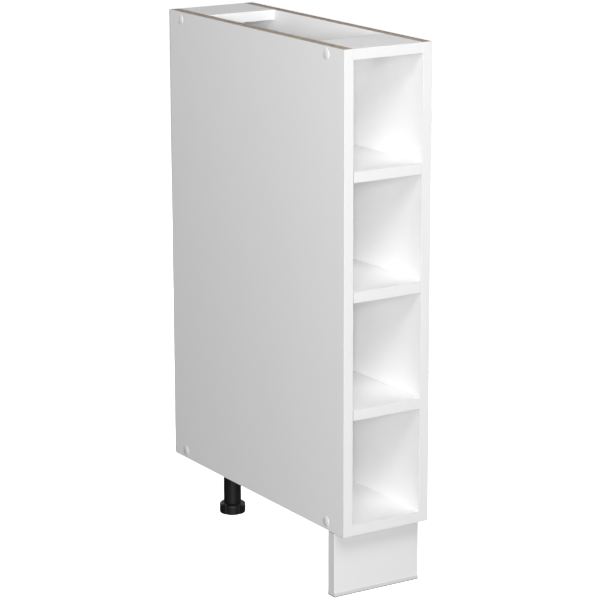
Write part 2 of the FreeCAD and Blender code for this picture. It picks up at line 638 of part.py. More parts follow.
def foot_wheel(label, y):
    body = new_body(label)
    bead_socket = f"{BEAD_RADIUS} + sizes.stem_clearance"
    bead_top = f"{WHEEL_SOCKET_FLOOR} + sizes.stem_bead_height"
    turn_profile(body, f"{label}_profile", "XZ_Plane", "Z_Axis", [
        ("0", "sizes.wheel_recess_depth"),
        ("sizes.wheel_recess_diameter / 2", "sizes.wheel_recess_depth"),
        ("sizes.wheel_recess_diameter / 2", "0"),
        ("sizes.wheel_diameter / 2", "0"),
        ("sizes.wheel_diameter / 2", "sizes.wheel_height"),
        (STEM_BORE_RADIUS, "sizes.wheel_height"),
        (STEM_BORE_RADIUS, bead_top),
        (bead_socket, bead_top),
        (bead_socket, WHEEL_SOCKET_FLOOR),
        ("0", WHEEL_SOCKET_FLOOR),
    ])
    radius = sizes.wheel_diameter / 2
    dress_edges(body, "Fillet", "Radius", "sizes.wheel_shoulder_radius",
                lambda edge: is_rim(edge, radius, sizes.wheel_height))
    dress_edges(body, "Fillet", "Radius", "sizes.wheel_foot_radius", lambda edge: is_rim(edge, radius, 0.0))
    notch_centre = "sizes.wheel_diameter / 2 + sizes.wheel_notch_radius - sizes.wheel_notch_depth"
    notch = drill(body, f"{label}_notch", "XY_Plane", "0", [("0", f"-({notch_centre})")],
                  "2 * sizes.wheel_notch_radius", "sizes.wheel_height", True)
    repeat_around(body, notch, WHEEL_LOBES)
    place(body, "0", y)


for end, leg_y in LEGS.items():
    leg_socket(f"{end}_leg_socket", leg_y)
    leg_column(f"{end}_leg_column", leg_y)
    foot_stem(f"{end}_foot_stem", leg_y)
    foot_wheel(f"{end}_foot_wheel", leg_y)

# Plate screws: small pan-head screws that go up through each socket plate into the bottom panel
plate_screw = new_body("plate_screw", is_node=False)
turn_profile(plate_screw, "plate_screw_profile", "XZ_Plane", "Z_Axis", [
    ("0", "-sizes.plate_screw_head_height"),
    ("sizes.plate_screw_head_diameter / 2", "-sizes.plate_screw_head_height"),
    ("sizes.plate_screw_head_diameter / 2", "0"),
    ("sizes.plate_screw_diameter / 2", "0"),
    ("sizes.plate_screw_diameter / 2", "sizes.plate_screw_length - sizes.plate_screw_point_length"),
    ("0", "sizes.plate_screw_length"),
])
copies("leg_screws", plate_screw, [
    (x, f"({leg_y} + {y})", "(sizes.leg_height - sizes.socket_plate_thickness)", AS_DRAWN)
    for leg_y in LEGS.values() for x, y in PLATE_SCREW_SPOTS])
for end, leg_y in LEGS.items():
    drill(bottom_panel, f"bottom_panel_{end}_leg_holes", "XY_Plane", "0",
          [(f"{x} - {INNER_LEFT}", f"{leg_y} + {y} - {BOARD_FRONT}") for x, y in PLATE_SCREW_SPOTS],
          PLATE_SCREW_HOLE, PLATE_SCREW_HOLE_DEPTH, True)

# Plinth: a board set back under the front, with edged ends and a plastic strip under it
PLINTH_HEIGHT = "(sizes.leg_height - sizes.plinth_top_gap - sizes.seal_base_thickness)"
CLIP_BASE_LEVEL = "(sizes.clip_level - sizes.seal_base_thickness)"
PLINTH_BOARD_WIDTH = "(sizes.cabinet_width - 2 * sizes.edging_thickness)"
CLIP_SCREW_OFFSETS = ("(-sizes.clip_screw_spacing / 2)", "(sizes.clip_screw_spacing / 2)")
plinth_board = new_body("plinth_board")
plinth_outline = new_sketch(plinth_board, "plinth_outline", "XY_Plane")
add_rectangle(plinth_outline, "0", "0", PLINTH_BOARD_WIDTH, "sizes.plinth_thickness")
pad(plinth_board, plinth_outline, PLINTH_HEIGHT)
drill(plinth_board, "plinth_clip_holes", "XZ_Plane", "-sizes.plinth_thickness",
      [(f"{PLINTH_BOARD_WIDTH} / 2 + {x}", f"{CLIP_BASE_LEVEL} + sizes.clip_base_height / 2")
       for x in CLIP_SCREW_OFFSETS],
      PLATE_SCREW_HOLE, "sizes.plate_screw_length - sizes.clip_base_thickness + sizes.blind_hole_spare", True)
place(plinth_board, f"({LEFT} + sizes.edging_thickness)", PLINTH_FRONT, "sizes.seal_base_thickness")

plinth_end_edging = new_body("plinth_end_edging")
plinth_ends = new_sketch(plinth_end_edging, "plinth_ends", "XY_Plane")
for end_x in ("0", "(sizes.cabinet_width - sizes.edging_thickness)"):
    add_rectangle(plinth_ends, end_x, "0", "sizes.edging_thickness", "sizes.plinth_thickness")
pad(plinth_end_edging, plinth_ends, PLINTH_HEIGHT)
place(plinth_end_edging, LEFT, PLINTH_FRONT, "sizes.seal_base_thickness")

plinth_seal = new_body("plinth_seal")
seal_section = new_sketch(plinth_seal, "seal_section", "YZ_Plane")
SEAL_IN = "-sizes.fastener_clearance"
SEAL_OUT = "(sizes.plinth_thickness + sizes.fastener_clearance)"
add_outline(seal_section, [
    (f"{SEAL_IN} - sizes.seal_wall", "0"),
    (f"{SEAL_OUT} + sizes.seal_wall", "0"),
    (f"{SEAL_OUT} + sizes.seal_wall", "sizes.seal_height"),
    (SEAL_OUT, "sizes.seal_height"),
    (SEAL_OUT, "sizes.seal_base_thickness"),
    (SEAL_IN, "sizes.seal_base_thickness"),
    (SEAL_IN, "sizes.seal_height"),
    (f"{SEAL_IN} - sizes.seal_wall", "sizes.seal_height"),
])
pad(plinth_seal, seal_section, "sizes.cabinet_width")
place(plinth_seal, LEFT, PLINTH_FRONT, "0")

# Plinth clip: a fork that grips the front column, with a foot that slides in a slotted base
FOOT_HALF = "(sizes.clip_foot_width / 2)"
NECK_HALF = "(sizes.clip_neck_width / 2)"
SLOT_HALF = f"({FOOT_HALF} + sizes.clip_fit_clearance)"
MOUTH_HALF = f"({NECK_HALF} + sizes.clip_fit_clearance)"
BLOCK_HALF = f"({SLOT_HALF} + sizes.clip_slot_wall)"
BASE_HALF = "(sizes.clip_base_width / 2)"
SLOT_FLOOR = "sizes.clip_base_thickness"
LIP_UNDERSIDE = "(sizes.clip_base_thickness + sizes.clip_foot_thickness + 2 * sizes.clip_fit_clearance)"
LIP_TOP = f"({LIP_UNDERSIDE} + sizes.clip_lip_thickness)"
clip_base_half = [
    (BASE_HALF, "0"), (BASE_HALF, SLOT_FLOOR), (BLOCK_HALF, SLOT_FLOOR), (BLOCK_HALF, LIP_TOP),
    (MOUTH_HALF, LIP_TOP), (MOUTH_HALF, LIP_UNDERSIDE), (SLOT_HALF, LIP_UNDERSIDE), (SLOT_HALF, SLOT_FLOOR),
]
clip_base = new_body("plinth_clip_base")
clip_base_section = new_sketch(clip_base, "clip_base_section", "XY_Plane")
add_outline(clip_base_section, clip_base_half + [(f"-{x}", y) for x, y in reversed(clip_base_half)])
pad(clip_base, clip_base_section, "sizes.clip_base_height")
drill(clip_base, "clip_base_screw_holes", "XZ_Plane", f"-{SLOT_FLOOR}",
      [(x, "sizes.clip_base_height / 2") for x in CLIP_SCREW_OFFSETS],
      PLATE_SCREW_HOLE, "sizes.clip_base_thickness", True)
place(clip_base, "0", PLINTH_REAR, "sizes.clip_level")

GRIP_RADIUS = "(sizes.leg_diameter / 2 + sizes.clip_leg_clearance)"
FORK_RADIUS = f"({GRIP_RADIUS} + sizes.clip_wall)"
plinth_clip = new_body("plinth_clip")
clip_foot = new_sketch(plinth_clip, "clip_foot", "XY_Plane")
add_rectangle(clip_foot, f"-{FOOT_HALF}", f"{SLOT_FLOOR} + sizes.clip_fit_clearance",
              "sizes.clip_foot_width", "sizes.clip_foot_thickness")
pad(plinth_clip, clip_foot, "sizes.clip_height")
clip_neck = new_sketch(plinth_clip, "clip_neck", "XY_Plane")
add_rectangle(clip_neck, f"-{NECK_HALF}", f"{SLOT_FLOOR} + sizes.clip_fit_clearance", "sizes.clip_neck_width",
              f"(sizes.clip_reach - {SLOT_FLOOR} - sizes.clip_fit_clearance)")
pad(plinth_clip, clip_neck, "sizes.clip_height")
clip_ring = new_sketch(plinth_clip, "clip_ring", "XY_Plane")
add_circle(clip_ring, "0", "sizes.clip_reach", f"2 * {FORK_RADIUS}")
pad(plinth_clip, clip_ring, "sizes.clip_height")
clip_prongs = new_sketch(plinth_clip, "clip_prongs", "XY_Plane")
add_rectangle(clip_prongs, f"-{FORK_RADIUS}", "sizes.clip_reach",
              f"2 * {FORK_RADIUS}", "sizes.clip_prong_length")
pad(plinth_clip, clip_prongs, "sizes.clip_height")
clip_grip = new_sketch(plinth_clip, "clip_grip", "XY_Plane")
add_circle(clip_grip, "0", "sizes.clip_reach", f"2 * {GRIP_RADIUS}")
cut(plinth_clip, clip_grip, "sizes.clip_height", True)
clip_mouth = new_sketch(plinth_clip, "clip_mouth", "XY_Plane")
add_rectangle(clip_mouth, f"-{GRIP_RADIUS}", "sizes.clip_reach", f"2 * {GRIP_RADIUS}", FORK_RADIUS)
cut(plinth_clip, clip_mouth, "sizes.clip_height", True)
place(plinth_clip, "0", PLINTH_REAR, "(sizes.clip_level + (sizes.clip_base_height - sizes.clip_height) / 2)")

copies("clip_base_screws", plate_screw, [
    (x, f"({PLINTH_REAR} + {SLOT_FLOOR})", "(sizes.clip_level + sizes.clip_base_height / 2)", FACING_FRONT)
    for x in CLIP_SCREW_OFFSETS])

doc.recompute()
failed = [item.Name for item in doc.Objects if "Invalid" in item.State or "Error" in item.State]
failed += [item.Name for item in nodes if item.Shape.isNull() or not item.Shape.isValid()]
if failed:
    raise RuntimeError(f"these did not build: {failed}")
os.makedirs("parts", exist_ok=True)
for item in nodes:
    item.Shape.exportStep(f"parts/{item.Label}.step")
    print(item.Label, len(item.Shape.Solids), "solids", round(item.Shape.Volume), "mm3")
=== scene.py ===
import math

import bmesh
import bpy
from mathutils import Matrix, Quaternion, Vector


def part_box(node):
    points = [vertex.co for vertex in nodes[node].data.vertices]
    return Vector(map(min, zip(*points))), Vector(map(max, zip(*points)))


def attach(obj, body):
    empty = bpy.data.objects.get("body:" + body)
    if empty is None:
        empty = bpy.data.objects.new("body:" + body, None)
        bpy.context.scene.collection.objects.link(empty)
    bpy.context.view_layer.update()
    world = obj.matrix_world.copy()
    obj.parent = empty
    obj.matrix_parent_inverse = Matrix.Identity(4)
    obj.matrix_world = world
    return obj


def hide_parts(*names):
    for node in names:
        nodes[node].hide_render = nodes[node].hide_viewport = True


# Narrow open base cabinet, dressed in the order in which it is put together.
# Metres: X across the width, -Y the open front, Z up, floor at zero.
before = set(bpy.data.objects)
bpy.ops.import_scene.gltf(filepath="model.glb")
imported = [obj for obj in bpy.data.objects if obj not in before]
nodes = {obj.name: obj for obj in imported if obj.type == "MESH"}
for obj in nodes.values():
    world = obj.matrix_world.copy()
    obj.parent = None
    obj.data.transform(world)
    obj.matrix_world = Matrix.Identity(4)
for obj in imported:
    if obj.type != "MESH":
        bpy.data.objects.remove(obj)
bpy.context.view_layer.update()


# Side panels: two tall chipboard boards with a thin white melamine film on both faces.
# They are sawn to size, so the brown chips show on every edge that has no edging strip.
FILM = 0.00022
FINE_LAYER_SHARE = 0.6
MELAMINE = (0.935, 0.935, 0.935, 1.0)
MELAMINE_SHADE = (0.920, 0.921, 0.923, 1.0)
CHIP_COLOURS = (
    (0.0, (0.225, 0.160, 0.122, 1.0)),
    (0.35, (0.390, 0.302, 0.242, 1.0)),
    (0.70, (0.560, 0.460, 0.380, 1.0)),
    (1.0, (0.740, 0.640, 0.540, 1.0)),
)
CHIP_LENGTH = 0.0045
CHIP_THICKNESS = 0.0011
FINE_CHIPS_PER_CHIP = 2.4
CHIP_ROUGHNESS = 0.88
CHIP_RELIEF = 0.0003
DUST_SIZE = 0.0008
DUST_SHARE = 0.35
FILM_CLOUD_SIZE = 0.09
FILM_PEARL_SIZE = 0.0011
FILM_RELIEF_SHARE = 0.05
FILM_ROUGHNESS = (0.54, 0.64)


def new_finish(name):
    """A material and its empty node tree."""
    finish = bpy.data.materials.new(name)
    finish.use_nodes = True
    finish.node_tree.nodes.clear()
    return finish, finish.node_tree


def add(tree, kind, inputs=None, **settings):
    """A node with its settings; an input is a plain value or another node's output."""
    node = tree.nodes.new(f"ShaderNode{kind}")
    for name, value in settings.items():
        setattr(node, name, value)
    for name, value in (inputs or {}).items():
        if isinstance(value, bpy.types.NodeSocket):
            tree.links.new(value, node.inputs[name])
        else:
            node.inputs[name].default_value = value
    return node


def calculate(tree, operation, *values):
    """The result of a sum on one, two or three values."""
    return add(tree, "Math", dict(enumerate(values)), operation=operation).outputs["Value"]


def blend_values(tree, share, low, high):
    """A plain number between two others."""
    inputs = {"Factor": share, "A": low, "B": high}
    return add(tree, "Mix", inputs, data_type="FLOAT").outputs["Result"]


def blend_colours(tree, share, low, high):
    """A colour between two others."""
    node = add(tree, "Mix", data_type="RGBA")
    for index, value in ((0, share), (6, low), (7, high)):
        if isinstance(value, bpy.types.NodeSocket):
            tree.links.new(value, node.inputs[index])
        else:
            node.inputs[index].default_value = value
    return node.outputs[2]


def colour_ramp(tree, share, stops):
    """Colours along a scale from 0 to 1."""
    node = add(tree, "ValToRGB", {"Fac": share})
    elements = node.color_ramp.elements
    for index, (place, colour) in enumerate(stops):
        stop = elements[index] if index < 2 else elements.new(place)
        stop.position = place
        stop.color = colour
    return node.outputs["Color"]


def noise(tree, place, size, detail=3.0, roughness=0.5):
    """Soft random spots about as large as the size, in metres."""
    inputs = {"Vector": place, "Scale": 1.0 / size, "Detail": detail, "Roughness": roughness}
    return add(tree, "TexNoise", inputs).outputs["Fac"]


def spread(tree, value, low, high):
    """A share from 0 to 1, rescaled to run from low to high."""
    inputs = {"Value": value, "To Min": low, "To Max": high}
    return add(tree, "MapRange", inputs).outputs["Result"]


def bump(tree, height, depth, strength):
    """A normal from a height of 0 to 1 that is as deep as given, in metres."""
    inputs = {"Height": height, "Distance": depth, "Strength": strength}
    return add(tree, "Bump", inputs).outputs["Normal"]


def coat_surface(tree, **inputs):
    """The principled shader of a finish, joined to its output."""
    named = {name.replace("_", " ").title().replace("Ior", "IOR"): value for name, value in inputs.items()}
    shader = add(tree, "BsdfPrincipled", named)
    add(tree, "OutputMaterial", {"Surface": shader.outputs["BSDF"]})


def wear(piece, finish):
    """Give a piece its finish in its one material slot."""
    piece.data.materials.clear()
    piece.data.materials.append(finish)


def board_finish(node, axis, film=(MELAMINE, MELAMINE_SHADE)):
    """White film on the two faces across the axis, and brown chips on the edges and in the holes."""
    low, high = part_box(node)
    centre = (low + high) / 2
    half = (high[axis] - low[axis]) / 2
    finish, tree = new_finish(f"{node}_finish")
    place = add(tree, "TexCoord").outputs["Object"]
    centred = add(tree, "Mapping", {"Vector": place, "Location": -centre}).outputs["Vector"]
    parts = add(tree, "SeparateXYZ", {"Vector": centred})
    depth = calculate(tree, "ABSOLUTE", parts.outputs[axis])
    is_film = calculate(tree, "GREATER_THAN", depth, half - FILM)
    is_fine = calculate(tree, "GREATER_THAN", depth, half * FINE_LAYER_SHARE)
    grain = [1.0 / CHIP_LENGTH] * 3
    grain[axis] = 1.0 / CHIP_THICKNESS
    stretched = add(tree, "Mapping", {"Vector": place, "Scale": grain}).outputs["Vector"]
    coarse = add(tree, "TexVoronoi", {"Vector": stretched, "Scale": 1.0})
    fine = add(tree, "TexVoronoi", {"Vector": stretched, "Scale": FINE_CHIPS_PER_CHIP})
    chip = add(tree, "Mix", {0: is_fine}, data_type="VECTOR")
    tree.links.new(coarse.outputs["Color"], chip.inputs[4])
    tree.links.new(fine.outputs["Color"], chip.inputs[5])
    tone = add(tree, "SeparateXYZ", {"Vector": chip.outputs[1]}).outputs["X"]
    dust = noise(tree, place, DUST_SIZE)
    chip_colour = colour_ramp(tree, blend_values(tree, DUST_SHARE, tone, dust), CHIP_COLOURS)
    cloud = noise(tree, place, FILM_CLOUD_SIZE)
    film_colour = blend_colours(tree, cloud, *film)
    pearl = noise(tree, place, FILM_PEARL_SIZE, detail=2.0)
    film_height = spread(tree, pearl, 0.0, FILM_RELIEF_SHARE)
    chip_height = calculate(tree, "MULTIPLY", tone, dust)
    height = blend_values(tree, is_film, chip_height, film_height)
    film_roughness = spread(tree, pearl, *FILM_ROUGHNESS)
    coat_surface(
        tree,
        base_color=blend_colours(tree, is_film, chip_colour, film_colour),
        roughness=blend_values(tree, is_film, CHIP_ROUGHNESS, film_roughness),
        specular_ior_level=0.2,
        normal=bump(tree, height, CHIP_RELIEF, 0.6),
    )
    return finish


for side in ("left_side_panel", "right_side_panel"):
    wear(nodes[side], board_finish(side, 0))


# Bottom panel and the two top rails: the same board, screwed and dowelled between the sides.
# The rails leave the top open and carry the worktop.
for board in ("bottom_panel", "front_top_rail", "rear_top_rail"):
    wear(nodes[board], board_finish(board, 2))


# Shelves: three loose boards of the same make, flush with the front of the cabinet.
# They lie on four pins each and are lifted out by hand.
for shelf in ("lower_shelf", "middle_shelf", "upper_shelf"):
    wear(nodes[shelf], board_finish(shelf, 2))


# Wooden dowels: turned beech pegs beside each screw, out of sight once glued.
# Fine growth streaks run along their length, across the cabinet.
BEECH_PALE = (0.62, 0.43, 0.27, 1.0)
BEECH_DARK = (0.47, 0.30, 0.17, 1.0)
STREAKS_PER_METRE = (60.0, 1500.0, 1500.0)
beech, tree = new_finish("turned_beech")
along_grain = add(tree, "TexCoord").outputs["Object"]
streaks = add(tree, "Mapping", {"Vector": along_grain, "Scale": STREAKS_PER_METRE}).outputs["Vector"]
streak = add(tree, "TexNoise", {"Vector": streaks, "Scale": 1.0, "Detail": 4.0}).outputs["Fac"]
coat_surface(
    tree,
    base_color=blend_colours(tree, streak, BEECH_PALE, BEECH_DARK),
    roughness=spread(tree, streak, 0.55, 0.70),
    normal=bump(tree, streak, 0.0001, 0.5),
)
wear(nodes["wooden_dowels"], beech)


# Carcass screws: zinc-plated chipboard screws that pull the sides onto the cross boards.
# The back nails are of the same bright steel, driven flush through the back panel.
ZINC = (0.66, 0.67, 0.69, 1.0)
ZINC_BLUE = (0.56, 0.59, 0.64, 1.0)


def plated_steel(name, bright, dull, spot_size):
    """Plated steel with soft clouds in its tone and gloss."""
    finish, tree = new_finish(name)
    place = add(tree, "TexCoord").outputs["Object"]
    cloud = noise(tree, place, spot_size)
    coat_surface(
        tree,
        base_color=blend_colours(tree, cloud, bright, dull),
        metallic=1.0,
        roughness=spread(tree, cloud, 0.24, 0.42),
        normal=bump(tree, noise(tree, place, 0.0004), 0.00002, 0.4),
    )
    return finish


zinc_plate = plated_steel("zinc_plate", ZINC, ZINC_BLUE, 0.002)
for fastener in ("carcass_screws", "back_nails"):
    wear(nodes[fastener], zinc_plate)


# Screw caps: shallow domed covers of moulded white plastic on the outside of the sides.
# Each has a plug that is pressed into the drive recess of a carcass screw.
CAP_WHITE = (0.90, 0.90, 0.90, 1.0)
CAP_SHADE = (0.885, 0.885, 0.885, 1.0)
GRAINS_PER_CLOUD = 20


def moulded_plastic(name, colour, shade, grain, grain_depth, roughness, gloss):
    """Moulded plastic with the fine eroded grain of its mould."""
    finish, tree = new_finish(name)
    place = add(tree, "TexCoord").outputs["Object"]
    speck = noise(tree, place, grain, detail=2.0)
    cloud = noise(tree, place, GRAINS_PER_CLOUD * grain)
    coat_surface(
        tree,
        base_color=blend_colours(tree, cloud, colour, shade),
        roughness=spread(tree, speck, roughness - 0.06, roughness + 0.06),
        specular_ior_level=gloss,
        normal=bump(tree, speck, grain_depth, 0.5),
    )
    return finish


cap_plastic = moulded_plastic(
    "cap_plastic", CAP_WHITE, CAP_SHADE, grain=0.0006, grain_depth=0.00002, roughness=0.30, gloss=0.45,
)
wear(nodes["screw_caps"], cap_plastic)


# Edging strips: 1 mm white plastic, hot-glued to the visible edges and rounded by a cutter.
# The cutter leaves faint lines along the strip. The strips on the plinth's ends are painted whiter, as a
# painted highlight.
# The edging's whites are painted shade: darker than the boards' film, against the strong light on the
# front edges.
EDGING_PAINTED_SHADE_WHITE = (0.745, 0.745, 0.745, 1.0)
EDGING_PAINTED_SHADE_TONE = (0.730, 0.731, 0.733, 1.0)
# A painted highlight: the plinth's end strips are painted whiter than the other strips.
END_PAINTED_HIGHLIGHT_WHITE = (0.870, 0.870, 0.870, 1.0)
END_PAINTED_HIGHLIGHT_TONE = (0.855, 0.856, 0.858, 1.0)
LINES_ACROSS = 1400.0
LINES_ALONG = 12.0
EDGING_CLOUD_SIZE = 0.06
EDGED = (
    "left_side_edging", "right_side_edging", "bottom_edging", "front_rail_edging", "rear_rail_edging",
    "lower_shelf_edging", "middle_shelf_edging", "upper_shelf_edging",
)


def edging_finish(name, long_axis, whites=(EDGING_PAINTED_SHADE_WHITE, EDGING_PAINTED_SHADE_TONE)):
    """Satin plastic with faint lines along the strip's longest side."""
    finish, tree = new_finish(name)
    place = add(tree, "TexCoord").outputs["Object"]
    scale = [LINES_ACROSS] * 3
    scale[long_axis] = LINES_ALONG
    drawn = add(tree, "Mapping", {"Vector": place, "Scale": scale}).outputs["Vector"]
    line = add(tree, "TexNoise", {"Vector": drawn, "Scale": 1.0, "Detail": 2.0}).outputs["Fac"]
    cloud = noise(tree, place, EDGING_CLOUD_SIZE)
    coat_surface(
        tree,
        base_color=blend_colours(tree, cloud, *whites),
        roughness=spread(tree, line, 0.28, 0.38),
        specular_ior_level=0.45,
        normal=bump(tree, line, 0.00002, 0.4),
    )
    return finish


upright_edging = edging_finish("upright_edging", 2)
level_edging = edging_finish("level_edging", 0)
for strip in EDGED:
    low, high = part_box(strip)
    wear(nodes[strip], upright_edging if high.z - low.z > high.x - low.x else level_edging)
wear(nodes["plinth_end_edging"], edging_finish("plinth_edging", 2, (END_PAINTED_HIGHLIGHT_WHITE, END_PAINTED_HIGHLIGHT_TONE)))


# Back panel: 3 mm fibreboard laid over the rear edges, painted white on the inner face.
# The outer face and the cut edges stay plain brown fibre.
PAINT = 0.0003
FIBRE_PALE = (0.46, 0.32, 0.205, 1.0)
FIBRE_DARK = (0.29, 0.188, 0.115, 1.0)
BACK_WHITE = (0.920, 0.920, 0.918, 1.0)
FIBRE_SIZE = 0.0012
PATCH_SIZE = 0.05
fibreboard, tree = new_finish("painted_fibreboard")
place = add(tree, "TexCoord").outputs["Object"]
from_front = add(tree, "SeparateXYZ", {"Vector": place}).outputs["Y"]
is_paint = calculate(tree, "LESS_THAN", from_front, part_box("back_panel")[0].y + PAINT)
fibres = noise(tree, place, FIBRE_SIZE, detail=6.0, roughness=0.7)
patches = noise(tree, place, PATCH_SIZE, detail=4.0)
brown = blend_colours(tree, blend_values(tree, 0.5, fibres, patches), FIBRE_PALE, FIBRE_DARK)
coat_surface(
    tree,
    base_color=blend_colours(tree, is_paint, brown, BACK_WHITE),
    roughness=blend_values(tree, is_paint, 0.72, 0.48),
    specular_ior_level=0.35,
    normal=bump(tree, fibres, 0.0001, 0.5),
)
wear(nodes["back_panel"], fibreboard)


# Shelf pins: nickel-plated steel pegs with a flat tongue, four to a shelf.
# They are pushed into the holes drilled in the sides, and the shelf lies on the tongues.
NICKEL = (0.66, 0.64, 0.60, 1.0)
NICKEL_DULL = (0.54, 0.52, 0.49, 1.0)
wear(nodes["shelf_pins"], plated_steel("nickel_plate", NICKEL, NICKEL_DULL, 0.003))


# Legs: moulded black plastic, a ribbed socket plate with a round column pressed into it.
# The lobed wheel at the foot is turned by hand to level the cabinet.
BLACK = (0.0085, 0.0085, 0.0085, 1.0)
BLACK_WORN = (0.0125, 0.0125, 0.0125, 1.0)
black_plastic = moulded_plastic(
    "black_plastic", BLACK, BLACK_WORN, grain=0.0004, grain_depth=0.00004, roughness=0.50, gloss=0.26,
)
ENDS = ("front", "rear")
for end in ENDS:
    for piece in ("leg_socket", "leg_column", "foot_wheel"):
        wear(nodes[f"{end}_{piece}"], black_plastic)


# Foot stems: black plastic screws with a coarse thread, turning in the column.
# A bead at the lower end snaps into the wheel, which is what a hand turns.
THREAD_PITCH = 0.004
THREAD_DEPTH = 0.0009
THREAD_START = 0.0045
STEM_RADIUS = 0.007
BEAD_RADIUS = 0.008
BEAD_HEIGHT = 0.0027
STEM_CHAMFER = 0.0015
STEPS_PER_TURN = 48
FLANK_START = 0.2
CREST_START = 0.4
CREST_END = 0.8
MERGE_DISTANCE = 1e-6


def polyline(mesh, points):
    """A run of straight edges through the points."""
    corners = [mesh.verts.new(point) for point in points]
    return corners + [mesh.edges.new(pair) for pair in zip(corners, corners[1:])]


def turn_round(mesh, points, steps):
    """A closed shape turned about Z from a profile that starts and ends on the axis."""
    bmesh.ops.spin(mesh, geom=polyline(mesh, points), axis=(0, 0, 1), cent=(0, 0, 0),
                   angle=2 * math.pi, steps=steps, use_merge=True)


def close_up(mesh):
    """Merge seams and poles, and turn every face outwards."""
    bmesh.ops.remove_doubles(mesh, verts=mesh.verts, dist=MERGE_DISTANCE)
    bmesh.ops.recalc_face_normals(mesh, faces=mesh.faces)


def finish_piece(mesh, name, finish, body, slot, *stands_for):
    """Turn a mesh into a piece that rides on a body and stands for some nodes."""
    data = bpy.data.meshes.new(name)
    mesh.to_mesh(data)
    mesh.free()
    piece = bpy.data.objects.new(name, data)
    bpy.context.scene.collection.objects.link(piece)
    wear(piece, finish)
    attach(piece, body)
    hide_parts(*stands_for)


def threaded_rod(low, high, radius, depth, pitch, steps):
    """A closed rod about Z whose surface is one coarse thread, cut off square at both ends."""
    rod = bmesh.new()
    root = radius - depth
    start = low - pitch
    turns = math.ceil((high - low) / pitch) + 1
    profile = polyline(rod, [
        (root, 0, start),
        (root, 0, start + FLANK_START * pitch),
        (radius, 0, start + CREST_START * pitch),
        (radius, 0, start + CREST_END * pitch),
        (root, 0, start + pitch),
    ])
    bmesh.ops.spin(rod, geom=profile, axis=(0, 0, 1), cent=(0, 0, 0), angle=turns * 2 * math.pi,
                   steps=turns * steps, dvec=(0, 0, pitch / steps))
    bmesh.ops.remove_doubles(rod, verts=rod.verts, dist=MERGE_DISTANCE)
    for level, facing in ((low, -1), (high, 1)):
        everything = rod.verts[:] + rod.edges[:] + rod.faces[:]
        bmesh.ops.bisect_plane(rod, geom=everything, plane_co=(0, 0, level), plane_no=(0, 0, facing),
                               clear_outer=True)
    bmesh.ops.holes_fill(rod, edges=rod.edges)
    close_up(rod)
    return rod


for end in ENDS:
    low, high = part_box(f"{end}_foot_stem")
    axis_place = Vector(((low.x + high.x) / 2, (low.y + high.y) / 2, 0))
    neck_top = low.z + THREAD_START
    tip_bottom = high.z - STEM_CHAMFER
    stem = threaded_rod(neck_top, tip_bottom, STEM_RADIUS, THREAD_DEPTH, THREAD_PITCH, STEPS_PER_TURN)
    turn_round(stem, [
        (0, 0, low.z), (BEAD_RADIUS, 0, low.z), (BEAD_RADIUS, 0, low.z + BEAD_HEIGHT),
        (STEM_RADIUS, 0, low.z + BEAD_HEIGHT), (STEM_RADIUS, 0, neck_top), (0, 0, neck_top),
    ], STEPS_PER_TURN)
    turn_round(stem, [
        (0, 0, tip_bottom), (STEM_RADIUS - THREAD_DEPTH, 0, tip_bottom),
        (STEM_RADIUS - THREAD_DEPTH - STEM_CHAMFER, 0, high.z), (0, 0, high.z),
    ], STEPS_PER_TURN)
    close_up(stem)
    bmesh.ops.translate(stem, verts=stem.verts, vec=axis_place)
    finish_piece(stem, f"{end}_threaded_stem", black_plastic, f"{end}_stem", "black_plastic",
                 f"{end}_foot_stem")


# Leg screws: four small zinc-plated pan-head screws through each socket plate.
# They go up into the bottom panel, with a cross-shaped drive in their rounded heads.
SCREW_HEAD = 0.00375
SCREW_HEAD_FLAT = 0.0026
SCREW_HEAD_HEIGHT = 0.0024
SCREW_SHANK = 0.002
SCREW_THREAD_DEPTH = SCREW_SHANK / 4
SCREW_LENGTH = 0.012
SCREW_POINT = 0.003
SCREW_PITCH = 0.0014
DRIVE_HALF_WIDTH = 0.00042
DRIVE_REACH = 0.0019
DRIVE_DEPTH = 0.0013
SCREW_STEPS = 24
SCREW_TWIST = math.radians(37)
# Shares of the head's radius and height, from its flat top down to its seat
HEAD_ROUNDING = ((0.88, 0.86), (0.97, 0.58), (1.0, 0.25), (1.0, 0.0))


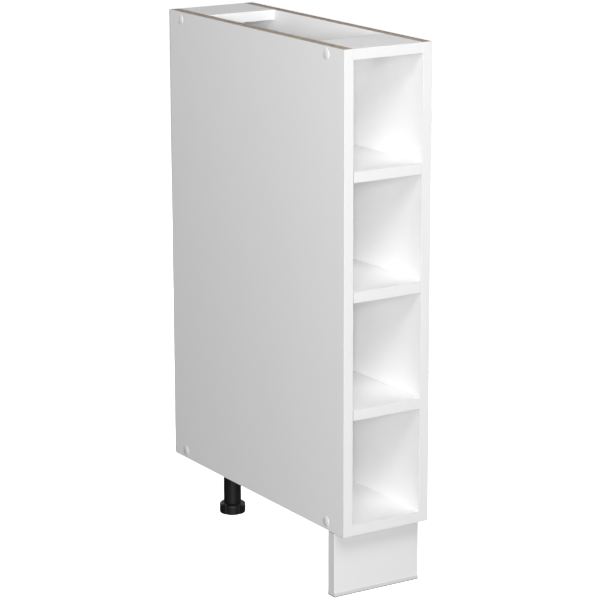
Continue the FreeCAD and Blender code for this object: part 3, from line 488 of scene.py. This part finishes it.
def pan_screw(seat, pointing, twist):
    """A closed pan-head screw under its seat, that points along a direction and is turned by the twist."""
    tip_start = SCREW_LENGTH - SCREW_POINT
    root = SCREW_SHANK - SCREW_THREAD_DEPTH
    screw = threaded_rod(0, tip_start, SCREW_SHANK, SCREW_THREAD_DEPTH, SCREW_PITCH, SCREW_STEPS)
    turn_round(screw, [(0, 0, tip_start), (root, 0, tip_start), (0, 0, SCREW_LENGTH)], SCREW_STEPS)
    rounding = [(out * SCREW_HEAD, 0, -up * SCREW_HEAD_HEIGHT) for out, up in HEAD_ROUNDING]
    turn_round(screw, [(SCREW_HEAD_FLAT, 0, -SCREW_HEAD_HEIGHT), *rounding, (0, 0, 0)], SCREW_STEPS)
    bmesh.ops.remove_doubles(screw, verts=screw.verts, dist=MERGE_DISTANCE)
    rim = [edge for edge in screw.edges if edge.is_boundary]
    floor_level = DRIVE_DEPTH - SCREW_HEAD_HEIGHT
    square = bmesh.ops.create_grid(screw, x_segments=1, y_segments=1, size=DRIVE_HALF_WIDTH)["verts"]
    bmesh.ops.translate(screw, verts=square, vec=(0, 0, floor_level))
    for side in square[0].link_faces[0].edges[:]:
        outwards = (side.verts[0].co + side.verts[1].co) / 2
        outwards.z = 0
        arm = bmesh.ops.extrude_edge_only(screw, edges=[side])["geom"]
        arm_corners = [part for part in arm if isinstance(part, bmesh.types.BMVert)]
        reach = outwards.normalized() * (DRIVE_REACH - DRIVE_HALF_WIDTH)
        bmesh.ops.translate(screw, verts=arm_corners, vec=reach)
    outline = [edge for edge in screw.edges if edge.is_boundary and edge not in rim]
    walls = bmesh.ops.extrude_edge_only(screw, edges=outline)["geom"]
    brim = [part for part in walls if isinstance(part, bmesh.types.BMVert)]
    bmesh.ops.translate(screw, verts=brim, vec=(0, 0, -DRIVE_DEPTH))
    mouth = [part for part in walls if isinstance(part, bmesh.types.BMEdge) and part.is_boundary]
    bmesh.ops.bridge_loops(screw, edges=rim + mouth)
    close_up(screw)
    turn = pointing.to_track_quat("Z", "Y") @ Quaternion((0, 0, 1), twist)
    bmesh.ops.rotate(screw, verts=screw.verts, cent=(0, 0, 0), matrix=turn.to_matrix())
    bmesh.ops.translate(screw, verts=screw.verts, vec=seat)
    return screw


def screw_set(name, body, node, seats, pointing):
    """Like screws as one piece that stands for a node."""
    together = bmesh.new()
    for number, seat in enumerate(seats):
        screw = pan_screw(seat, pointing, number * SCREW_TWIST)
        data = bpy.data.meshes.new(f"{name}_{number}")
        screw.to_mesh(data)
        screw.free()
        together.from_mesh(data)
        bpy.data.meshes.remove(data)
    finish_piece(together, name, zinc_plate, body, "zinc_steel", node)


PLATE_SCREW_ALONG = 0.018
low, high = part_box("leg_screws")
leg_seats = []
for end in ENDS:
    plate_low, plate_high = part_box(f"{end}_leg_socket")
    leg_y = (plate_low.y + plate_high.y) / 2
    for x in (low.x + SCREW_HEAD, high.x - SCREW_HEAD):
        for y in (leg_y - PLATE_SCREW_ALONG, leg_y + PLATE_SCREW_ALONG):
            leg_seats.append(Vector((x, y, low.z + SCREW_HEAD_HEIGHT)))
screw_set("leg_pan_screws", "carcass", "leg_screws", leg_seats, Vector((0, 0, 1)))


# Plinth board: a white board on edge under the front, set back for the toes; its white film is painted
# greyer, as painted shade under the carcass.
# A pale strip clipped on its lower edge seals it to the floor; it is darker along its bottom 1.6 mm.
# The plinth's whites are painted shade: darker than the sides' film, for the shade under the carcass.
PLINTH_PAINTED_SHADE_WHITE = (0.715, 0.715, 0.715, 1.0)
PLINTH_PAINTED_SHADE_TONE = (0.700, 0.701, 0.703, 1.0)
SEAL_GREY = (0.63, 0.63, 0.63, 1.0)
SEAL_SHADE = (0.60, 0.60, 0.602, 1.0)
BOTTOM_BAND_GREY = (0.36, 0.36, 0.362, 1.0)
BOTTOM_BAND_HEIGHT = 0.0016
SEAL_GRAIN = 0.0008
wear(nodes["plinth_board"], board_finish("plinth_board", 1, (PLINTH_PAINTED_SHADE_WHITE, PLINTH_PAINTED_SHADE_TONE)))
seal_plastic, tree = new_finish("seal_plastic")
place = add(tree, "TexCoord").outputs["Object"]
height = add(tree, "SeparateXYZ", {"Vector": place}).outputs["Z"]
# The bottom 1.6 mm of the strip is darker.
is_bottom_band = calculate(tree, "LESS_THAN", height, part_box("plinth_seal")[0].z + BOTTOM_BAND_HEIGHT)
cloud = noise(tree, place, GRAINS_PER_CLOUD * SEAL_GRAIN)
speck = noise(tree, place, SEAL_GRAIN, detail=2.0)
strip_grey = blend_colours(tree, cloud, SEAL_GREY, SEAL_SHADE)
coat_surface(
    tree,
    base_color=blend_colours(tree, is_bottom_band, strip_grey, BOTTOM_BAND_GREY),
    roughness=spread(tree, speck, 0.38, 0.50),
    specular_ior_level=0.35,
    normal=bump(tree, speck, 0.00002, 0.5),
)
wear(nodes["plinth_seal"], seal_plastic)


# Plinth clip: a springy fork of moulded black plastic that grips the front column.
# Its foot slides into a slotted base, which two more pan-head screws hold to the board's back.
for piece in ("plinth_clip", "plinth_clip_base"):
    wear(nodes[piece], black_plastic)
low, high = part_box("clip_base_screws")
clip_seats = [Vector((x, high.y - SCREW_HEAD_HEIGHT, (low.z + high.z) / 2))
              for x in (low.x + SCREW_HEAD, high.x - SCREW_HEAD)]
screw_set("clip_pan_screws", "plinth", "clip_base_screws", clip_seats, Vector((0, -1, 0)))


# Studio: a pale glowing floor, as on a light table, and soft lights around the cabinet.
# The two main ones shine along the view, and a weak one from below stands for the floor's bounce.
# The floor is clear from below, and lies low enough for the feet to stay in sight when turned out.
FLOOR_SIDE = 60.0
FLOOR_WHITE = (0.90, 0.90, 0.90, 1.0)
FLOOR_GLOW = 1.0
FLOOR_LEVEL = -0.021
floor_mesh = bmesh.new()
bmesh.ops.create_grid(floor_mesh, x_segments=1, y_segments=1, size=FLOOR_SIDE / 2)
bmesh.ops.translate(floor_mesh, verts=floor_mesh.verts, vec=(0, 0, FLOOR_LEVEL))
floor_data = bpy.data.meshes.new("floor")
floor_mesh.to_mesh(floor_data)
floor_mesh.free()
floor = bpy.data.objects.new("floor", floor_data)
floor.visible_diffuse = False
floor.visible_glossy = False
floor.visible_shadow = False
bpy.context.scene.collection.objects.link(floor)
floor_paint, tree = new_finish("floor_paint")
glowing = add(tree, "BsdfPrincipled", {
    "Base Color": FLOOR_WHITE, "Roughness": 0.9, "Specular IOR Level": 0.0,
    "Emission Color": (1.0, 1.0, 1.0, 1.0), "Emission Strength": FLOOR_GLOW,
})
clear = add(tree, "BsdfTransparent")
underside = add(tree, "NewGeometry").outputs["Backfacing"]
one_sided = add(tree, "MixShader", {0: underside, 1: glowing.outputs["BSDF"], 2: clear.outputs["BSDF"]})
add(tree, "OutputMaterial", {"Surface": one_sided.outputs["Shader"]})
wear(floor, floor_paint)

ROOM_LIGHT = 0.01
room = bpy.data.worlds.new("room")
room.use_nodes = True
room_tree = room.node_tree
is_backdrop = add(room_tree, "LightPath").outputs["Is Camera Ray"]
backdrop = room_tree.nodes["Background"]
backdrop.inputs["Color"].default_value = (1.0, 1.0, 1.0, 1.0)
room_tree.links.new(spread(room_tree, is_backdrop, ROOM_LIGHT, 1.0), backdrop.inputs["Strength"])
bpy.context.scene.world = room

LIGHT_AIM = Vector((0.0, -0.1, 0.5))


def direction(azimuth, elevation):
    """From the cabinet outwards; azimuth 0 is straight out of the front, negative to the left."""
    turn = math.radians(azimuth)
    rise = math.radians(elevation)
    return Vector((math.sin(turn) * math.cos(rise), -math.cos(turn) * math.cos(rise), math.sin(rise)))


def soft_light(name, azimuth, elevation, distance, side, watts):
    """A square soft light on a sphere around the cabinet, turned towards it."""
    data = bpy.data.lights.new(name, "AREA")
    data.size = side
    data.energy = watts
    light = bpy.data.objects.new(name, data)
    outwards = direction(azimuth, elevation)
    light.location = LIGHT_AIM + outwards * distance
    light.rotation_mode = "QUATERNION"
    light.rotation_quaternion = (-outwards).to_track_quat("-Z", "Y")
    light.visible_camera = False
    bpy.context.scene.collection.objects.link(light)


soft_light("main_light", azimuth=-30, elevation=14, distance=5.4, side=0.9, watts=132.5)
soft_light("low_light", azimuth=-30, elevation=8, distance=5.4, side=0.9, watts=121.0)
soft_light("front_light", azimuth=0, elevation=44, distance=3.0, side=1.2, watts=20.5)
soft_light("high_light", azimuth=-36, elevation=42, distance=2.4, side=0.9, watts=19.5)
soft_light("left_light", azimuth=-100, elevation=18, distance=2.4, side=1.5, watts=3.0)
soft_light("right_light", azimuth=95, elevation=8, distance=3.0, side=1.6, watts=28.0)
soft_light("back_light", azimuth=140, elevation=25, distance=3.0, side=1.6, watts=13.5)
soft_light("rear_light", azimuth=178, elevation=8, distance=3.0, side=1.6, watts=26.0)
soft_light("bounce_light", azimuth=-25, elevation=-35, distance=3.0, side=2.0, watts=10.5)


# Camera: the photograph's view, from the left of the front and a little above.
# A long lens from afar keeps the upright edges nearly parallel.
VIEW_AZIMUTH = -32.076
VIEW_ELEVATION = 14.127
VIEW_ROLL = -0.144
VIEW_PLACE = (-2.05461, -3.29050, 1.37288)
PHOTO_WIDTH = 600
FOCAL_PIXELS = 2615.294
camera_data = bpy.data.cameras.new("camera")
camera_data.sensor_width = 36.0
camera_data.lens = FOCAL_PIXELS * camera_data.sensor_width / PHOTO_WIDTH
camera_data.dof.use_dof = False
camera = bpy.data.objects.new("camera", camera_data)
level_view = (-direction(VIEW_AZIMUTH, VIEW_ELEVATION)).to_track_quat("-Z", "Y")
camera.location = VIEW_PLACE
camera.rotation_mode = "QUATERNION"
camera.rotation_quaternion = level_view @ Quaternion((0, 0, 1), math.radians(VIEW_ROLL))
bpy.context.scene.collection.objects.link(camera)
bpy.context.scene.camera = camera
bpy.context.scene.view_settings.view_transform = "Standard"
